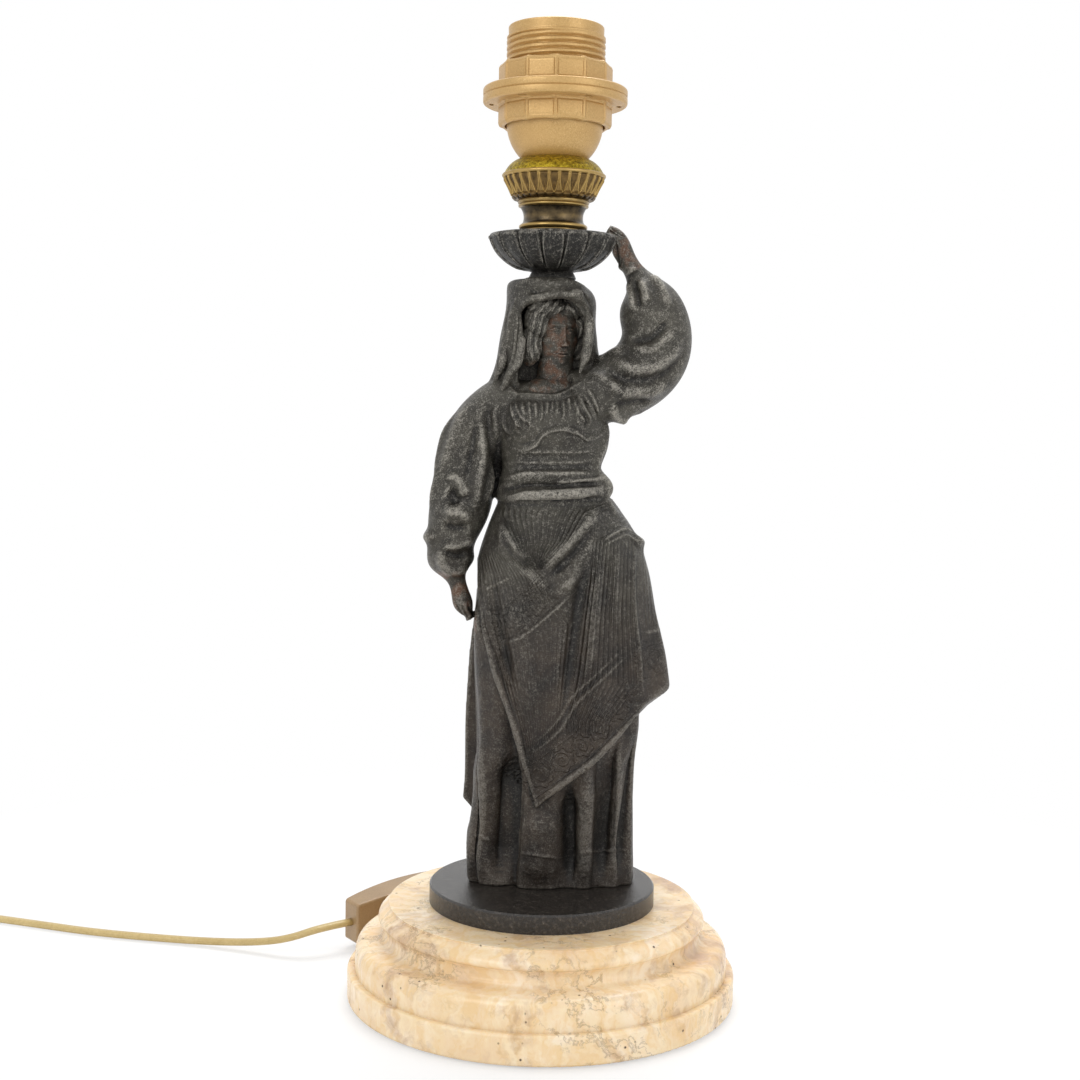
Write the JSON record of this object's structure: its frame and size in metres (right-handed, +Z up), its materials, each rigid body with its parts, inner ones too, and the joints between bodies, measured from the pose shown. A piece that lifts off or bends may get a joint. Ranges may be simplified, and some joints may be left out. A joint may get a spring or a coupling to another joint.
{
  "type": "figural table lamp",
  "caption": "Table lamp on a stepped round stone foot: a cast draped woman carries a bowl on her head under a threaded lampholder with shade rings; inline switch and coiled cord.",
  "frame": {"origin": "on the lamp's axis, on the surface that the felt under the foot stands on", "axes": "+Z up along the rod, -Y the way the figure faces, +X to the viewer's right"},
  "size_m": [0.5155, 0.237, 0.393],
  "materials": {
    "felt": "rough felt",
    "marble": "satin polished, veined",
    "bronzed_metal": "dark bronzed patina on cast zinc alloy",
    "dark_bronze": "dark bronzed brass",
    "antique_brass": "antique brass",
    "bright_brass": "yellow brass",
    "steel": "zinc plated",
    "gold_plastic": "matt gold, fine metallic grain",
    "porcelain": "unglazed",
    "socket_plastic": "heat-proof plastic",
    "cord_pvc": "pale gold PVC",
    "brown_plastic": "brown-gold, satin",
    "rocker_plastic": "brown-gold, satin",
    "pin_metal": "nickel plated"
  },
  "bodies": {
    "lamp": {"felt_pad": "felt", "marble_foot": "marble", "marble_moulding": "marble", "plinth": "bronzed_metal", "figure_skirt": "bronzed_metal", "figure_bodice": "bronzed_metal", "head_and_veil": "bronzed_metal", "raised_arm": "bronzed_metal", "lowered_arm": "bronzed_metal", "bowl": "bronzed_metal", "spool_collar": "dark_bronze", "leaf_cup": "antique_brass", "brass_cap": "bright_brass", "draw_rod": "bright_brass", "shell_contact": "bright_brass", "switch_terminals": "bright_brass", "rod_washer": "steel", "rod_nut": "steel", "terminal_screws": "steel", "switch_screws": "steel", "rocker_pin": "steel", "holder_cap": "gold_plastic", "holder_sleeve": "gold_plastic", "contact_block": "porcelain", "socket_barrel": "socket_plastic", "inner_cord": "cord_pvc", "cord_lead_out": "cord_pvc", "cord_run": "cord_pvc", "cord_coil": "cord_pvc", "cord_tail": "cord_pvc", "switch_back_shell": "brown_plastic", "switch_front_shell": "brown_plastic", "cord_bush": "brown_plastic", "plug_body": "brown_plastic", "plug_pins": "pin_metal"},
    "lower_ring": {"shade_ring_lower": "gold_plastic"},
    "upper_ring": {"shade_ring_upper": "gold_plastic"},
    "rocker": {"switch_rocker": "rocker_plastic"},
    "contact_leaf": {"centre_contact": "bright_brass"}
  },
  "joints": [
    {"name": "lower_ring_travel", "type": "slide", "parent": "lamp", "child": "lower_ring", "axis": [0, 0, 1], "range_m": [0, 0.012]},
    {"name": "upper_ring_travel", "type": "slide", "parent": "lower_ring", "child": "upper_ring", "axis": [0, 0, 1], "range_m": [0, 0.024]},
    {"name": "rocker_tilt", "type": "hinge", "parent": "lamp", "child": "rocker", "pos_m": [-0.05199, 0.08091, 0.013], "axis": [0, 0, -1], "range_deg": [0, 16]},
    {"name": "contact_leaf_bow", "type": "hinge", "parent": "lamp", "child": "contact_leaf", "pos_m": [0.008, 0, 0.3614], "axis": [0, -1, 0], "range_deg": [0, 7], "stiffness_Nm_per_rad": 0.02}
  ]
}
